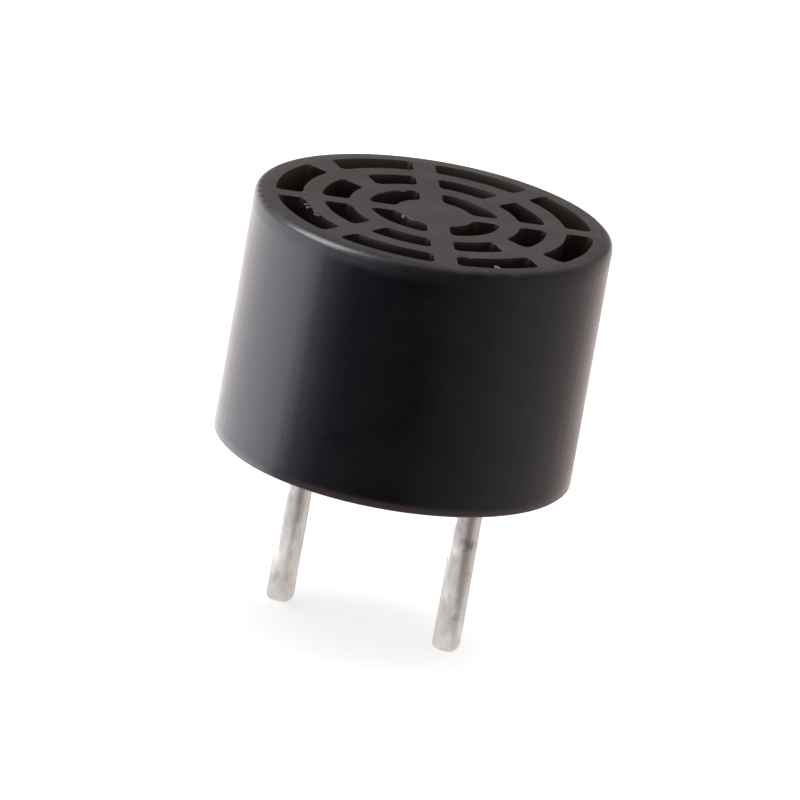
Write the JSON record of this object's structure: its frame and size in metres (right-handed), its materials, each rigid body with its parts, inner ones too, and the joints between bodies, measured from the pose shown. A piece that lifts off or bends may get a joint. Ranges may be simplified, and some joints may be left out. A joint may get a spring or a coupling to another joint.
{
  "type": "ultrasonic transducer",
  "caption": "Open-type ultrasonic transducer: a round case with a slotted grille over a driven cone, closed at the back by a base that holds square solder pins.",
  "frame": {"origin": "centre of the case's open end, which seats on the circuit board", "axes": "+Z along the case's axis and out through the grille; +X along the line through the pins, from the signal pin to the ground pin; the pins point along -Z"},
  "size_m": [0.01, 0.01, 0.0121],
  "materials": {
    "case_plastic": "satin moulded",
    "base_plastic": "moulded",
    "epoxy": "cured resin",
    "tinned_pin": "tinned, dulled",
    "silicone": "cured rubber",
    "plate_metal": "rolled",
    "adhesive": "cured adhesive",
    "ceramic_disc": "fired",
    "cone_aluminium": "spun",
    "copper_wire": "drawn",
    "solder": "solidified"
  },
  "bodies": {
    "root": {"case": "case_plastic", "base": "base_plastic", "rim_seal": "epoxy", "pin_signal": "tinned_pin", "pin_ground": "tinned_pin", "support_bead": "silicone", "metal_plate": "plate_metal", "plate_bond": "adhesive", "piezo_disc": "ceramic_disc", "resonator_cone": "cone_aluminium", "cone_bond": "adhesive", "lead_signal": "copper_wire", "lead_ground": "copper_wire", "solder_pin_signal": "solder", "solder_pin_ground": "solder", "solder_disc": "solder", "solder_plate": "solder"}
  },
  "joints": []
}
